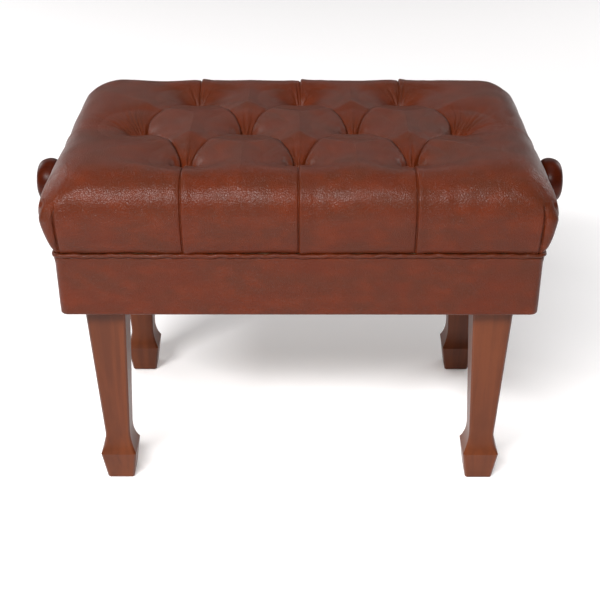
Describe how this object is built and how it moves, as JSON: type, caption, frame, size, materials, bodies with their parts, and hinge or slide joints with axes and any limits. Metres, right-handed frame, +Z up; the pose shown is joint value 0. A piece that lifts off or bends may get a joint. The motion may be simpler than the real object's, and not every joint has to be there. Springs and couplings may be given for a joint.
{
  "type": "piano bench",
  "caption": "Height-adjustable piano bench: deep-buttoned leather seat over a leather-wrapped box, scissor lift with a lead screw and side knobs, tapered wooden legs with spade feet.",
  "frame": {"origin": "on the floor, at the centre of the bench's footprint, seat at its lowest setting", "axes": "+X to the sitter's right along the seat's long side, +Y to the back, +Z up"},
  "size_m": [0.684, 0.396, 0.456],
  "materials": {
    "leather": "mottled reddish brown, fine pebble grain, satin",
    "piping_leather": "reddish brown, satin",
    "button_leather": "reddish brown, satin",
    "stained_wood": "medium brown stain, satin lacquer, fine straight grain",
    "knob_wood": "turned, orange-brown stain, gloss lacquer",
    "plain_wood": "planed softwood, unfinished",
    "plywood": "birch plywood, unfinished",
    "foam": "polyurethane foam",
    "padding": "needled cotton felt",
    "twine": "waxed upholstery twine",
    "zinc_steel": "zinc plated",
    "black_steel": "black powder coat",
    "bright_steel": "turned, lightly greased",
    "brass": "machined",
    "nylon": "moulded nylon, matt"
  },
  "bodies": {
    "base": {"leg_front_left": "stained_wood", "leg_front_right": "stained_wood", "leg_back_left": "stained_wood", "leg_back_right": "stained_wood", "rail_front": "stained_wood", "rail_back": "stained_wood", "rail_left": "stained_wood", "rail_right": "stained_wood", "corner_block_front_left": "plain_wood", "corner_block_front_right": "plain_wood", "corner_block_back_left": "plain_wood", "corner_block_back_right": "plain_wood", "leg_hanger_bolts": "zinc_steel", "leg_bolt_washers": "zinc_steel", "leg_bolt_nuts": "zinc_steel", "foot_glides": "nylon", "lower_track_front": "black_steel", "lower_track_back": "black_steel", "lower_track_screws": "zinc_steel", "lower_pivot_shaft": "bright_steel", "lower_pivot_spacers": "bright_steel"},
    "arms_a": {"arm_a_front": "black_steel", "arm_a_back": "black_steel", "scissor_centre_pins": "zinc_steel"},
    "arms_b": {"arm_b_front": "black_steel", "arm_b_back": "black_steel", "roller_shaft": "bright_steel"},
    "rollers": {"track_rollers": "nylon"},
    "nut": {"nut_block": "bright_steel", "nut_bars": "black_steel", "nut_bar_shoes": "nylon"},
    "seat": {"box_front": "plain_wood", "box_back": "plain_wood", "box_left": "plain_wood", "box_right": "plain_wood", "box_corner_blocks": "plain_wood", "seat_board": "plywood", "board_screws": "zinc_steel", "upper_track_front": "black_steel", "upper_track_back": "black_steel", "upper_track_screws": "zinc_steel", "thrust_block": "bright_steel", "thrust_bars": "black_steel", "shaft_bushings": "nylon", "foam_top": "foam", "foam_edge_front": "foam", "foam_edge_back": "foam", "foam_edge_left": "foam", "foam_edge_right": "foam", "cushion_cover": "leather", "tuft_buttons": "button_leather", "button_ties": "twine", "skirt_padding": "padding", "skirt_cover": "leather", "piping": "piping_leather"},
    "screw": {"lead_screw": "bright_steel", "thrust_collars": "zinc_steel", "knob_left": "knob_wood", "knob_right": "knob_wood", "knob_inserts": "brass"}
  },
  "joints": [
    {"name": "arm_lift", "type": "hinge", "parent": "base", "child": "arms_a", "pos_m": [-0.146, 0, 0.298], "axis": [0, -1, 0], "range_deg": [0, 15.63]},
    {"name": "scissor_cross", "type": "hinge", "parent": "arms_a", "child": "arms_b", "pos_m": [-0.00014, 0, 0.333], "axis": [0, -1, 0], "range_deg": [-31.26, 0]},
    {"name": "seat_level", "type": "hinge", "parent": "arms_b", "child": "seat", "pos_m": [-0.146, 0, 0.368], "axis": [0, -1, 0], "range_deg": [0, 15.63]},
    {"name": "nut_level", "type": "hinge", "parent": "arms_a", "child": "nut", "pos_m": [0.14572, 0, 0.368], "axis": [0, -1, 0], "range_deg": [-15.63, 0]},
    {"name": "roller_spin", "type": "hinge", "parent": "arms_b", "child": "rollers", "pos_m": [0.14572, 0, 0.298], "axis": [0, -1, 0], "range_deg": [0, 182.14]},
    {"name": "screw_turn", "type": "hinge", "parent": "seat", "child": "screw", "pos_m": [0, 0, 0.368], "axis": [1, 0, 0], "range_deg": [0, 3557.13]}
  ],
  "couplings": [
    {"joint": "scissor_cross", "follows": "arm_lift", "ratio": -2},
    {"joint": "seat_level", "follows": "arm_lift", "ratio": 1},
    {"joint": "nut_level", "follows": "arm_lift", "ratio": -1},
    {"joint": "roller_spin", "follows": "arm_lift", "ratio": 11.654},
    {"joint": "screw_turn", "follows": "arm_lift", "ratio": 227.61}
  ]
}
